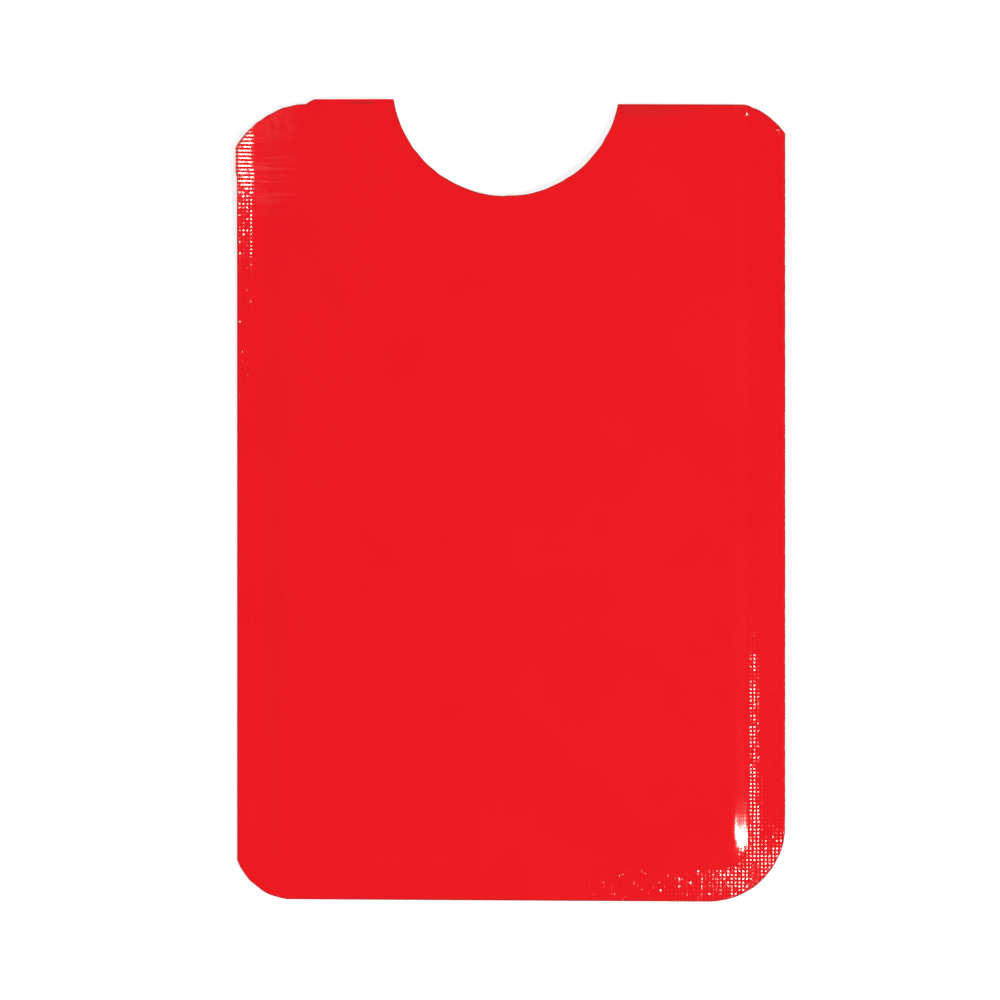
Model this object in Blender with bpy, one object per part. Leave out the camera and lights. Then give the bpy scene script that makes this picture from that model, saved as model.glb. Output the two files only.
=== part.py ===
"""Card sleeve with a shielding foil: an open-topped pouch for one bank card, lying on its back.

The sleeve is two sheets, each of an outer film, a foil and an inner liner. They are heat-sealed to
each other along both sides and the bottom, and a thumb notch is cut through both at the mouth. The
back sheet is flat. The front sheet is pressed into a shallow tray, so that a card slides in between.

Frame: +Z out of the front sheet, +Y towards the mouth, +X to the right seen from the front. The
origin is under the middle of the sleeve, in the plane of its back. Lengths are in metres.
"""

import math

import bmesh
import bpy
from mathutils import Vector

# The card, at the standard size of bank cards, and the room that the pocket leaves round it
CARD_WIDTH = 0.05398
CARD_LENGTH = 0.0856
CARD_THICKNESS = 0.00076
SIDE_CLEARANCE = 0.00009
MOUTH_MARGIN = 0.00065
HEADROOM = 0.00014

# The heat-sealed borders, and the shoulder where the front sheet climbs from them to its panel
LEFT_SEAL_WIDTH = 0.0020
RIGHT_SEAL_WIDTH = 0.00414
BOTTOM_SEAL_WIDTH = 0.0038
SHOULDER_RUN = 0.00095
SHOULDER_STEPS = 4

# The front panel's slight crown, highest at the middle of the mouth
CROWN_HEIGHT = 0.00025
CROWN_COLUMNS = 8
CROWN_ROWS = 8

# Layers of each sheet, the glue line between two layers, and the fused plastic of a seal
FILM_THICKNESS = 0.00004
FOIL_THICKNESS = 0.00002
LINER_THICKNESS = 0.00008
GLUE_LINE = 0.00001
WELD_THICKNESS = 0.00004
WELD_JOINT_GAP = 0.0003

# The thumb notch, an arc whose centre lies a little beyond the mouth and left of the middle
NOTCH_RADIUS = 0.0129
NOTCH_CENTRE_RISE = 0.00194
NOTCH_CENTRE_OFFSET = -0.00057
NOTCH_STEPS = 40

# The cut of the edges: the right shoulder is lower than the left, and the bottom is a little askew
RIGHT_SHOULDER_DROP = 0.00057
BOTTOM_LEFT_LIFT = 0.00028

# The four corners: how far each cut reaches along the two edges, and the radius of its arc
TOP_LEFT_REACH_X = 0.0084
TOP_LEFT_REACH_Y = 0.0055
TOP_LEFT_RADIUS = 0.0101
TOP_RIGHT_REACH_X = 0.0045
TOP_RIGHT_REACH_Y = 0.0033
TOP_RIGHT_RADIUS = 0.0087
BOTTOM_LEFT_REACH_X = 0.0058
BOTTOM_LEFT_REACH_Y = 0.0045
BOTTOM_LEFT_RADIUS = 0.0069
BOTTOM_RIGHT_RADIUS = 0.0087
CORNER_STEPS = 10

# How far blanks and cutters run past what they cut
CUT_OVERRUN = 0.002

# Edges of the sleeve and of its pocket, from the card outwards
POCKET_WIDTH = CARD_WIDTH + 2 * (SIDE_CLEARANCE + SHOULDER_RUN)
SLEEVE_WIDTH = LEFT_SEAL_WIDTH + POCKET_WIDTH + RIGHT_SEAL_WIDTH
SLEEVE_LENGTH = BOTTOM_SEAL_WIDTH + SHOULDER_RUN + CARD_LENGTH + MOUTH_MARGIN
LEFT = -SLEEVE_WIDTH / 2
RIGHT = SLEEVE_WIDTH / 2
BOTTOM = -SLEEVE_LENGTH / 2
MOUTH = SLEEVE_LENGTH / 2
POCKET_LEFT = LEFT + LEFT_SEAL_WIDTH
POCKET_RIGHT = RIGHT - RIGHT_SEAL_WIDTH
POCKET_FLOOR = BOTTOM + BOTTOM_SEAL_WIDTH

# Heights of the layers at the seals, from the back film up
BACK_FILM_BASE = 0.0
BACK_FOIL_BASE = BACK_FILM_BASE + FILM_THICKNESS + GLUE_LINE
BACK_LINER_BASE = BACK_FOIL_BASE + FOIL_THICKNESS + GLUE_LINE
WELD_BASE = BACK_LINER_BASE + LINER_THICKNESS + GLUE_LINE
FRONT_LINER_BASE = WELD_BASE + WELD_THICKNESS + GLUE_LINE
FRONT_FOIL_BASE = FRONT_LINER_BASE + LINER_THICKNESS + GLUE_LINE
FRONT_FILM_BASE = FRONT_FOIL_BASE + FOIL_THICKNESS + GLUE_LINE
FRONT_TOP = FRONT_FILM_BASE + FILM_THICKNESS

# The panel rises until the pocket is as high as the card and its headroom
POCKET_HEIGHT = CARD_THICKNESS + HEADROOM
PANEL_RISE = POCKET_HEIGHT - (FRONT_LINER_BASE - BACK_LINER_BASE - LINER_THICKNESS)

RED = (0.839, 0.0116, 0.0176)
SILVER = (0.80, 0.80, 0.82)
MILK_WHITE = (0.78, 0.77, 0.74)
SEAL_WHITE = (0.70, 0.68, 0.66)


def clear_scene():
    """Removes every object, so that only the sleeve is left at the end."""
    for item in list(bpy.data.objects):
        bpy.data.objects.remove(item, do_unlink=True)


def make_collection(name):
    """A collection of that name under the scene."""
    collection = bpy.data.collections.new(name)
    bpy.context.scene.collection.children.link(collection)
    return collection


def make_material(name, colour, roughness, metallic):
    """A plain Principled material."""
    material = bpy.data.materials.new(name)
    material.use_nodes = True
    shader = material.node_tree.nodes["Principled BSDF"]
    shader.inputs["Base Color"].default_value = (*colour, 1.0)
    shader.inputs["Roughness"].default_value = roughness
    shader.inputs["Metallic"].default_value = metallic
    return material


def arc_between(start, end, radius, steps, hollow=False):
    """Points on the short arc of that radius from start to end, both included.

    The outline is walked anticlockwise, so the arc bulges to the right of the walk, out of the
    sleeve. A hollow arc bulges to the left, into it.
    """
    start = Vector(start)
    end = Vector(end)
    chord = end - start
    side = -1 if hollow else 1
    towards_centre = side * Vector((-chord.y, chord.x)).normalized()
    centre = (start + end) / 2 + towards_centre * math.sqrt(radius**2 - chord.length_squared / 4)
    first = math.atan2(start.y - centre.y, start.x - centre.x)
    last = math.atan2(end.y - centre.y, end.x - centre.x)
    sweep = (last - first + math.pi) % math.tau - math.pi
    angles = [first + sweep * step / steps for step in range(steps + 1)]
    return [(centre.x + radius * math.cos(a), centre.y + radius * math.sin(a)) for a in angles]


def sleeve_outline():
    """The cut edge of both sheets, anticlockwise from the bottom left corner."""
    right_mouth = MOUTH - RIGHT_SHOULDER_DROP
    bottom_left = BOTTOM + BOTTOM_LEFT_LIFT
    notch_x = NOTCH_CENTRE_OFFSET
    notch_y = MOUTH + NOTCH_CENTRE_RISE
    notch_reach_right = math.sqrt(NOTCH_RADIUS**2 - (notch_y - right_mouth) ** 2)
    notch_reach_left = math.sqrt(NOTCH_RADIUS**2 - (notch_y - MOUTH) ** 2)
    corner_bottom_left = arc_between(
        (LEFT, bottom_left + BOTTOM_LEFT_REACH_Y),
        (LEFT + BOTTOM_LEFT_REACH_X, bottom_left),
        BOTTOM_LEFT_RADIUS,
        CORNER_STEPS,
    )
    corner_bottom_right = arc_between(
        (RIGHT - BOTTOM_RIGHT_RADIUS, BOTTOM),
        (RIGHT, BOTTOM + BOTTOM_RIGHT_RADIUS),
        BOTTOM_RIGHT_RADIUS,
        CORNER_STEPS,
    )
    corner_top_right = arc_between(
        (RIGHT, right_mouth - TOP_RIGHT_REACH_Y),
        (RIGHT - TOP_RIGHT_REACH_X, right_mouth),
        TOP_RIGHT_RADIUS,
        CORNER_STEPS,
    )
    notch = arc_between(
        (notch_x + notch_reach_right, right_mouth),
        (notch_x - notch_reach_left, MOUTH),
        NOTCH_RADIUS,
        NOTCH_STEPS,
        hollow=True,
    )
    corner_top_left = arc_between(
        (LEFT + TOP_LEFT_REACH_X, MOUTH),
        (LEFT, MOUTH - TOP_LEFT_REACH_Y),
        TOP_LEFT_RADIUS,
        CORNER_STEPS,
    )
    return corner_bottom_left + corner_bottom_right + corner_top_right + notch + corner_top_left


def outline_curve(name, base, thickness, collection):
    """The sleeve's outline as a filled 2D curve of that thickness, standing on base."""
    curve = bpy.data.curves.new(name, "CURVE")
    curve.dimensions = "2D"
    curve.fill_mode = "BOTH"
    curve.extrude = thickness / 2
    points = sleeve_outline()
    spline = curve.splines.new("POLY")
    spline.points.add(len(points) - 1)
    for point, (x, y) in zip(spline.points, points):
        point.co = (x, y, 0.0, 1.0)
    spline.use_cyclic_u = True
    sheet = bpy.data.objects.new(name, curve)
    sheet.location.z = base + thickness / 2
    collection.objects.link(sheet)
    return sheet


def outline_cutter(collection):
    """The outline as a closed mesh, deeper than the sleeve, for trimming pieces to its edge."""
    base = BACK_FILM_BASE - CUT_OVERRUN
    top = FRONT_TOP + PANEL_RISE + CROWN_HEIGHT + CUT_OVERRUN
    drawn = outline_curve("outline_drawn", base, top - base, collection)
    bpy.context.view_layer.update()
    evaluated = drawn.evaluated_get(bpy.context.evaluated_depsgraph_get())
    mesh = bpy.data.meshes.new_from_object(evaluated)
    bm = bmesh.new()
    bm.from_mesh(mesh)
    bmesh.ops.remove_doubles(bm, verts=bm.verts[:], dist=GLUE_LINE / 2)
    bm.to_mesh(mesh)
    bm.free()
    cutter = bpy.data.objects.new("outline_cutter", mesh)
    cutter.matrix_world = drawn.matrix_world
    collection.objects.link(cutter)
    bpy.data.objects.remove(drawn, do_unlink=True)
    cutter.hide_render = True
    cutter.display_type = "WIRE"
    return cutter


def trim_to_outline(piece, cutter):
    """Keeps only what lies inside the sleeve's outline."""
    trim = piece.modifiers.new("trim", "BOOLEAN")
    trim.operation = "INTERSECT"
    trim.solver = "EXACT"
    trim.object = cutter


def shoulder(distance):
    """0 at a seal's inner edge and 1 a shoulder's run in from it, with a smooth S between."""
    share = min(max(distance / SHOULDER_RUN, 0.0), 1.0)
    return share * share * (3 - 2 * share)


def rise_at(x, y):
    """How far the front sheet stands above its seals at a place: shoulders, then the crown."""
    plateau = shoulder(x - POCKET_LEFT) * shoulder(POCKET_RIGHT - x) * shoulder(y - POCKET_FLOOR)
    across = min(max((x - POCKET_LEFT) / POCKET_WIDTH, 0.0), 1.0)
    along = min(max((y - POCKET_FLOOR) / (MOUTH - POCKET_FLOOR), 0.0), 1.0)
    crown = 4 * across * (1 - across) * along * (2 - along)
    return PANEL_RISE * plateau + CROWN_HEIGHT * crown


def fold_lines(low, high, count):
    """Places that divide a stretch evenly, both ends included."""
    return [low + (high - low) * step / count for step in range(count + 1)]


def pressed_sheet(name, base, thickness, cutter, collection):
    """A front layer: a blank with fold lines, pressed into a tray, thickened and trimmed.

    The blank is cut into triangles before it is thickened, so that its two faces, and those of the
    layers above and below, fold along the same lines and keep their distance.
    """
    bm = bmesh.new()
    bmesh.ops.create_grid(bm, x_segments=1, y_segments=1, size=MOUTH + CUT_OVERRUN)
    panel_left = POCKET_LEFT + SHOULDER_RUN
    panel_right = POCKET_RIGHT - SHOULDER_RUN
    panel_floor = POCKET_FLOOR + SHOULDER_RUN
    lines_x = fold_lines(POCKET_LEFT, panel_left, SHOULDER_STEPS)
    lines_x += fold_lines(panel_left, panel_right, CROWN_COLUMNS)[1:]
    lines_x += fold_lines(panel_right, POCKET_RIGHT, SHOULDER_STEPS)[1:]
    lines_y = fold_lines(POCKET_FLOOR, panel_floor, SHOULDER_STEPS)
    lines_y += fold_lines(panel_floor, MOUTH, CROWN_ROWS)[1:]
    folds = [((x, 0.0, 0.0), (1, 0, 0)) for x in lines_x]
    folds += [((0.0, y, 0.0), (0, 1, 0)) for y in lines_y]
    for place, normal in folds:
        everything = bm.verts[:] + bm.edges[:] + bm.faces[:]
        bmesh.ops.bisect_plane(bm, geom=everything, plane_co=place, plane_no=normal)
    bmesh.ops.triangulate(bm, faces=bm.faces[:], quad_method="FIXED")
    for vert in bm.verts:
        vert.co.z = base + rise_at(vert.co.x, vert.co.y)
    thickened = bmesh.ops.extrude_face_region(bm, geom=bm.faces[:])
    top = [item for item in thickened["geom"] if isinstance(item, bmesh.types.BMVert)]
    bmesh.ops.translate(bm, verts=top, vec=(0.0, 0.0, thickness))
    bmesh.ops.recalc_face_normals(bm, faces=bm.faces[:])
    mesh = bpy.data.meshes.new(name)
    bm.to_mesh(mesh)
    bm.free()
    sheet = bpy.data.objects.new(name, mesh)
    collection.objects.link(sheet)
    trim_to_outline(sheet, cutter)
    return sheet


def weld(name, low_x, high_x, low_y, high_y, cutter, collection):
    """A seal's fused plastic: a flat bar between the two liners, trimmed to the outline."""
    bm = bmesh.new()
    bmesh.ops.create_cube(bm, size=1)
    bmesh.ops.scale(bm, vec=(high_x - low_x, high_y - low_y, WELD_THICKNESS), verts=bm.verts[:])
    centre = ((low_x + high_x) / 2, (low_y + high_y) / 2, WELD_BASE + WELD_THICKNESS / 2)
    bmesh.ops.translate(bm, verts=bm.verts[:], vec=centre)
    mesh = bpy.data.meshes.new(name)
    bm.to_mesh(mesh)
    bm.free()
    bar = bpy.data.objects.new(name, mesh)
    collection.objects.link(bar)
    trim_to_outline(bar, cutter)
    return bar


def build_back(collection):
    """The flat back sheet: film, foil and liner."""
    film = outline_curve("back_cover_film", BACK_FILM_BASE, FILM_THICKNESS, collection)
    foil = outline_curve("back_foil", BACK_FOIL_BASE, FOIL_THICKNESS, collection)
    liner = outline_curve("back_liner", BACK_LINER_BASE, LINER_THICKNESS, collection)
    film.data.materials.append(make_material("back red film", RED, 0.22, 0.35))
    foil.data.materials.append(make_material("back foil", SILVER, 0.30, 1.0))
    liner.data.materials.append(make_material("back liner", MILK_WHITE, 0.55, 0.0))


def build_front(cutter, collection):
    """The pressed front sheet: liner, foil and film."""
    liner = pressed_sheet("front_liner", FRONT_LINER_BASE, LINER_THICKNESS, cutter, collection)
    foil = pressed_sheet("front_foil", FRONT_FOIL_BASE, FOIL_THICKNESS, cutter, collection)
    film = pressed_sheet("front_cover_film", FRONT_FILM_BASE, FILM_THICKNESS, cutter, collection)
    liner.data.materials.append(make_material("front liner", MILK_WHITE, 0.55, 0.0))
    foil.data.materials.append(make_material("front foil", SILVER, 0.30, 1.0))
    film.data.materials.append(make_material("front red film", RED, 0.22, 0.35))


def build_seals(cutter, collection):
    """The three welds that hold the sheets together: both sides and the bottom."""
    side_floor = POCKET_FLOOR + WELD_JOINT_GAP
    outer_left = LEFT - CUT_OVERRUN
    outer_right = RIGHT + CUT_OVERRUN
    outer_top = MOUTH + CUT_OVERRUN
    outer_bottom = BOTTOM - CUT_OVERRUN
    bars = {
        "left_seal": (outer_left, POCKET_LEFT, side_floor, outer_top),
        "right_seal": (POCKET_RIGHT, outer_right, side_floor, outer_top),
        "bottom_seal": (outer_left, outer_right, outer_bottom, POCKET_FLOOR),
    }
    for name, sides in bars.items():
        bar = weld(name, *sides, cutter, collection)
        bar.data.materials.append(make_material(name.replace("_", " "), SEAL_WHITE, 0.50, 0.0))


def main():
    clear_scene()
    sleeve = make_collection("card_sleeve")
    cutters = make_collection("cutters")
    cutter = outline_cutter(cutters)
    build_back(sleeve)
    build_seals(cutter, sleeve)
    build_front(cutter, sleeve)


main()
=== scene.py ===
"""Card sleeve of red foil laminate: two thin walls sealed on three sides, with a crimped mesh.

Every surface is a height over the sleeve's plan. One function gives the rise of the front wall over
the pocket, one the lift of both walls where the corners curl, and one the crimp that the sealing bars
press into the borders. Films, foils, liners and seals all stand on the same functions, so that they
keep their distance. Lengths are in metres, with +Z out of the front wall and +Y towards the mouth.
"""

import math

import bpy
import numpy as np
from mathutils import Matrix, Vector


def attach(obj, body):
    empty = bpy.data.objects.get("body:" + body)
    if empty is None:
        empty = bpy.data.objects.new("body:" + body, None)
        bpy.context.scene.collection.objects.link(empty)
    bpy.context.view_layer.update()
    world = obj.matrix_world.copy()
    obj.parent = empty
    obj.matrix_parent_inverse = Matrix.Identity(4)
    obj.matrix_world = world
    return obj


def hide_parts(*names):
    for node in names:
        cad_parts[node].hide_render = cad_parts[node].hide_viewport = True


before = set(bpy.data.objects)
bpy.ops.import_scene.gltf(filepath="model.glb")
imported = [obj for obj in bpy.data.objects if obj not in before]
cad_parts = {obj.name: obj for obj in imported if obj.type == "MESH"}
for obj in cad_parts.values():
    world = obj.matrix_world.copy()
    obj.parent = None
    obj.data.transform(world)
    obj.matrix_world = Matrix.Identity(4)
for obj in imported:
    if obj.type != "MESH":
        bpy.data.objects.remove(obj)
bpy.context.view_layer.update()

MM = 0.001

# The plan of the sleeve and its pocket, as the frame has them
LEFT = -31.1 * MM
RIGHT = 31.1 * MM
BOTTOM = -45.5 * MM
MOUTH = 45.5 * MM
POCKET_LEFT = -29.1 * MM
POCKET_RIGHT = 26.96 * MM
POCKET_FLOOR = -41.7 * MM
BOTTOM_LEFT = BOTTOM + 0.28 * MM
RIGHT_MOUTH = MOUTH - 0.57 * MM

# Corner cuts: reach along x, reach along y, and radius of the arc
TOP_LEFT_CUT = (8.1 * MM, 5.5 * MM, 9.1 * MM)
TOP_LEFT_STEP = (0.35 * MM, 0.53 * MM)
TOP_RIGHT_CUT = (4.5 * MM, 3.3 * MM, 8.7 * MM)
BOTTOM_LEFT_CUT = (5.8 * MM, 4.5 * MM, 6.9 * MM)
BOTTOM_RIGHT_CUT = (8.7 * MM, 8.7 * MM, 8.7 * MM)
NOTCH_X = -0.57 * MM
NOTCH_Y = MOUTH + 1.94 * MM
NOTCH_RADIUS = 12.9 * MM
ARC_STEPS = 160

# The cut's unevenness: arcs that wobble, small bites in the right edge, and a proud strip of the
# left edge. Each has its depth first, then a wobble's size and seed, or how far in it dies away
CUT_WOBBLE = (0.045 * MM, 0.7 * MM, 9)
RIGHT_BITES = (0.05 * MM, 0.4 * MM)
LEFT_PROUD = (0.16 * MM, 3.0 * MM)
LEFT_PROUD_START = 37.2 * MM
LEFT_PROUD_RUN = 0.2 * MM

# Small dents near the top right corner: place, reach and height
DENTS = [
    (26.6 * MM, 44.05 * MM, 0.26 * MM, 0.105 * MM),
    (30.20 * MM, 41.75 * MM, 0.26 * MM, 0.12 * MM),
]

# Heights of the layers at the seals, low and high side of each
BACK_FILM = (0.0, 0.04 * MM)
BACK_FOIL = (0.05 * MM, 0.07 * MM)
BACK_LINER = (0.08 * MM, 0.16 * MM)
SEAL_BEAD = (0.17 * MM, 0.21 * MM)
FRONT_LINER = (0.22 * MM, 0.30 * MM)
FRONT_FOIL = (0.31 * MM, 0.33 * MM)
FRONT_FILM = (0.34 * MM, 0.38 * MM)

# The empty pocket's soft rise over the seals
SHOULDER_RISE = 0.18 * MM
SHOULDER_START = 0.12 * MM
SHOULDER_LAG = 1.2 * MM
SHOULDER_RUN = 2.1 * MM
CROWN_HEIGHT = 0.72 * MM
CORNER_ROUND = 3.2 * MM

# Beside the bent corner the right shoulder leans in, then out: how far, from which y down, and its run
LEAN_IN = (0.22 * MM, -33.5 * MM, 2.9 * MM)
LEAN_OUT = (0.50 * MM, -36.0 * MM, 3.6 * MM)

# The curl of the top left border and the bend of the lower right corner
CURL_START = -27.0 * MM
CURL_BEND = 2.3 * MM
CURL_SLOPE = 0.308
FAINT_CURL = (0.12, 6 * MM, 14 * MM)
MAIN_CURL = (0.88, 24 * MM, 15 * MM)
BEND_MIDDLE = (19.45 * MM, -35.4 * MM)
BEND_SLOPE = 0.143
BEND_START = (5.0 * MM, 1.6 * MM)
BEND_END = (7.6 * MM, 2.0 * MM)
BEND_WIDTH = 20 * MM
BEND_HILL = ((24 * MM, -36.3 * MM), (14 * MM, 5.2 * MM))

# The mesh that the sealing bars press: cells across the width, and cells from the middle upwards
CELLS_ACROSS = 146
CELL_X = (RIGHT - LEFT) / CELLS_ACROSS
CELL_Y = 0.43 * MM
BITE_NOISE = (0.5 * CELL_Y, 8)
TOOTH_PHASES = np.array([0.04, 0.46, 0.54, 0.96])
BACK_CRIMP = 0.35

# Where the mesh lies: the seals' soft inner edge, and a trail that dies away inside it
SEAL_EDGE = 0.10 * MM
SEAL_SOFTNESS = 0.2 * MM
LEFT_SEAL_SHIFT = 0.30 * MM
TRAIL_REACH = 1.7 * MM
TRAIL_SHARE = {"all": 0.12, "pocket_corner": 0.60, "curl": 0.45}
TRAIL_CALM = 0.75

# Places that the bars pressed in their own way: a hill's middle and reach, or a slope's start and run
LOWER_CORNER = ((29.8 * MM, -42.2 * MM), (4.6 * MM, 4.6 * MM))
POCKET_CORNER = ((26.2 * MM, -41.2 * MM), (1.9 * MM, 1.9 * MM))
RIDGE_ACROSS = (27.36 * MM, 0.68 * MM)
RIDGE_ALONG = (6 * MM, 24 * MM)
RIDGE_GAP = (-36.1 * MM, 5.2 * MM)
RIDGE_GAP_SHARE = 0.65
LEFT_BORDER = (-POCKET_LEFT - 1.6 * MM, 1.2 * MM)
BOTTOM_BORDER = (-POCKET_FLOOR - 1.0 * MM, 1.5 * MM)
FLOOR_END = (4 * MM, 27 * MM)
CURL_PART = (19 * MM, 12 * MM)
BARS_PART = (32.5 * MM, 4 * MM)
BOTTOM_SPECKS = (4 * MM, 9 * MM)
LEFT_SPECKS = (4 * MM, 12 * MM)

# Depths of the mesh's grooves, and how uneven the uprights are: everywhere, and what each place adds
UPRIGHT_DEPTH = {
    "all": 0.014 * MM,
    "corner": 0.027 * MM,
    "ridge": 0.029 * MM,
    "bottom": -0.004 * MM,
    "floor": 0.019 * MM,
}
LEVEL_DEPTH = {"all": 0.016 * MM, "ridge": 0.006 * MM, "curl": 0.018 * MM}
UPRIGHT_NOISE = {"all": 0.34, "bars": -0.14, "floor": -0.16, "corner": -0.10}
SPECK_DEPTH = 0.028 * MM

# Noise of the mesh, as its size and its seed, and how much of it counts
CELL_NOISE_X = (CELL_X, 3)
WIDE_NOISE_X = (6 * CELL_X, 4)
WIDE_SHARE_X = 0.15
FLOOR_NOISE = (0.55 * CELL_X, 10)
FLOOR_NOISE_SHARE = 0.36
CELL_NOISE_Y = (CELL_Y, 5)
CELL_SHARE_Y = 0.30
WIDE_NOISE_Y = (7 * CELL_Y, 6)
WIDE_SHARE_Y = 0.12
SPECK_NOISE = (0.6 * CELL_X, 11)
SPECK_OVER = 0.42
SPECK_RANGE = 0.3

# The left border's uprights: the depth that a slope of 0.27 takes, less what the curl's slope gives
LEFT_UPRIGHT = 0.0483 * MM
CURL_UPRIGHT = 0.0551 * MM
LEFT_UPRIGHT_LIMIT = (0.014 * MM, 0.0085 * MM)
LEFT_LIMIT_PART = (18 * MM, 9 * MM)

# Cells of the three finely crimped borders, and their seams with the smooth panel
LEFT_CELLS = 9
RIGHT_CELLS = 18
CELLS_UP = 107
CELLS_TO_FLOOR = 92
LEFT_SEAM = LEFT + LEFT_CELLS * CELL_X
RIGHT_SEAM = RIGHT - RIGHT_CELLS * CELL_X
FLOOR_SEAM = -CELLS_TO_FLOOR * CELL_Y

# How the sheets are meshed and shaded: how far the layers stay inside the films' cut edge, which
# lines count as one, how far rows run past the cut, steps, and where the smooth shading breaks
EDGE_INSET = 0.05 * MM
NEAR_LINES = 0.002 * MM
ROUND_OFF = 1e-12
SEAM_SLACK = 1e-9
FILM_PAST = 0.1 * MM
LAYER_PAST = 0.2 * MM
FRONT_STEP = 0.5 * MM
BACK_STEP = 1.0 * MM
FINE_STEP = 0.2 * MM
BORDER_STEP = 0.4 * MM
FLOOR_STEP = 0.5 * MM
BEAD_STEP = 0.25 * MM
LONG_BEAD_STEP = 0.6 * MM
SHOULDER_SPAN = 3.2 * MM
NOTCH_ANGLE = 0.16
SHOULDER_ROWS = (-42.2 * MM, -33.5 * MM)
SEAL_GAP = 0.3 * MM
SHARP_ANGLE = math.radians(55)
CRIMPED_OVER = 0.006 * MM
FAR = 10_000_000
EDGE_LIMIT = 1.0 * MM
BATCH = 20000

# Colours of the red film: two close reds, a red for dust that also paints glare, a painted shade patch,
# and the cut edge
RED_LOW = (0.835, 0.0062, 0.0118, 1)
RED_HIGH = (0.855, 0.0074, 0.0132, 1)
# one red for real dust and scuffs, also used for the painted glare at the upper left seal
DUST_AND_GLARE_RED = (0.86, 0.06, 0.07, 1)
# painted shade: the colour of the darker patch right of the notch
PAINTED_SHADE_RED = (0.66, 0.0125, 0.0190, 1)
CUT_RED = (0.48, 0.0040, 0.0060, 1)
CUT_EDGE_MM = (0.08, 0.20)

# Where colour is painted on the film, in metres, with each soft edge as its start and end: painted
# glare round the upper left corner, a patch of painted shade right of the notch, and painted glare
# streaks beside the upper left seal
GLARE_MIDDLE = (-0.0268, 0.0432, 0.0008)
GLARE_AWAY = (0.0004, 0.0036)
SHADE_PATCH_UP = (0.0420, 0.0456)
SHADE_PATCH_RIGHT = (0.008, 0.013)
SHADE_PATCH_FADING = (0.015, 0.025)
GLARE_STREAKS_UP = (0.0318, 0.0345)
GLARE_STREAKS_TOP = (0.0385, 0.0425)
GLARE_STREAKS_LEFT = (-0.0296, -0.0292)
GLARE_STREAKS_FADING = (-0.0292, -0.0225)

# Floor, softboxes (angle from overhead, turn, distance, side, radiance, colour), sky and camera
FLOOR_HALF = 3.0
FLOOR_HEIGHT = -0.05 * MM
FLOOR_GREYS = ((0.64, 0.64, 0.64, 1), (0.66, 0.66, 0.66, 1))
FLOOR_GLOW = (0.60, 0.60, 0.60, 1)
BLACK = (0, 0, 0, 1)
WHITE = (1.0, 1.0, 1.0, 1)
SOFTBOXES = {
    "key_softbox": (34, -25, 1.2, 0.26, 38.0, (1.0, 0.95, 0.86)),
    "fill_softbox_left": (48, 165, 1.4, 0.5, 4.2, (0.96, 0.98, 1.0)),
    "fill_softbox_front": (48, 255, 1.4, 0.5, 3.6, (0.96, 0.98, 1.0)),
    "fill_softbox_back": (48, 75, 1.4, 0.5, 3.8, (0.96, 0.98, 1.0)),
}
SKY_HORIZON = (0.18, 0.18, 0.19, 1)
SKY_WALLS = (0.40, 0.40, 0.41, 1)
SKY_TOP = (0.12, 0.12, 0.12, 1)
CAMERA_PLACE = (-1.28 * MM, 0.07 * MM)
CAMERA_FRAME = 113.43 * MM
CAMERA_OVER = 0.4 * MM
LENS = 200.0
SENSOR = 36.0


def ease(share):
    """0 below 0, 1 above 1, and the smooth S of 3 s^2 - 2 s^3 between."""
    share = np.clip(share, 0.0, 1.0)
    return share * share * (3 - 2 * share)


def beyond(value, start, run):
    """0 up to a start, 1 from a run further on, eased between."""
    return ease((value - start) / run)


def soft_noise(x, y, size, seed):
    """A smooth random field from -1 to 1.

    Random numbers stand on a square net of that size, and an eased blend of the nearest four fills
    the squares.
    """
    net = np.random.default_rng(seed).uniform(-1, 1, (257, 257))
    u = x / size + 128.5
    v = y / size + 128.5
    i = np.floor(u).astype(int) % 256
    j = np.floor(v).astype(int) % 256
    p = ease(u - np.floor(u))
    q = ease(v - np.floor(v))
    low = net[i, j] * (1 - p) + net[i + 1, j] * p
    high = net[i, j + 1] * (1 - p) + net[i + 1, j + 1] * p
    return low * (1 - q) + high * q


def arc(start, end, radius, hollow=False):
    """Points of the short arc of that radius from start to end.

    Seen along the walk, the centre lies to the left, or to the right of a hollow arc. The angle runs
    evenly from the one end to the other, and the radius wobbles a little between them, as a blade does.
    """
    (ax, ay), (bx, by) = start, end
    half = math.hypot(bx - ax, by - ay) / 2
    side = -1 if hollow else 1
    reach = side * math.sqrt(radius**2 - half**2) / (2 * half)
    cx = (ax + bx) / 2 - (by - ay) * reach
    cy = (ay + by) / 2 + (bx - ax) * reach
    first = math.atan2(ay - cy, ax - cx)
    sweep = (math.atan2(by - cy, bx - cx) - first + math.pi) % math.tau - math.pi
    share = np.linspace(0, 1, ARC_STEPS + 1)
    angle = first + sweep * share
    depth, size, seed = CUT_WOBBLE
    wobble = soft_noise(radius * angle, 9 * cx + 0 * angle, size, seed)
    reach = radius + depth * wobble * ease(8 * share) * ease(8 * (1 - share))
    return np.stack([cx + reach * np.cos(angle), cy + reach * np.sin(angle)], axis=1)


def lower_edge():
    """The cut edge from the left side round the bottom to the right side, from left to right."""
    reach_x, reach_y, radius = BOTTOM_LEFT_CUT
    left = arc((LEFT, BOTTOM_LEFT + reach_y), (LEFT + reach_x, BOTTOM_LEFT), radius)
    reach_x, reach_y, radius = BOTTOM_RIGHT_CUT
    right = arc((RIGHT - reach_x, BOTTOM), (RIGHT, BOTTOM + reach_y), radius)
    return np.concatenate([left, right])


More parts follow.
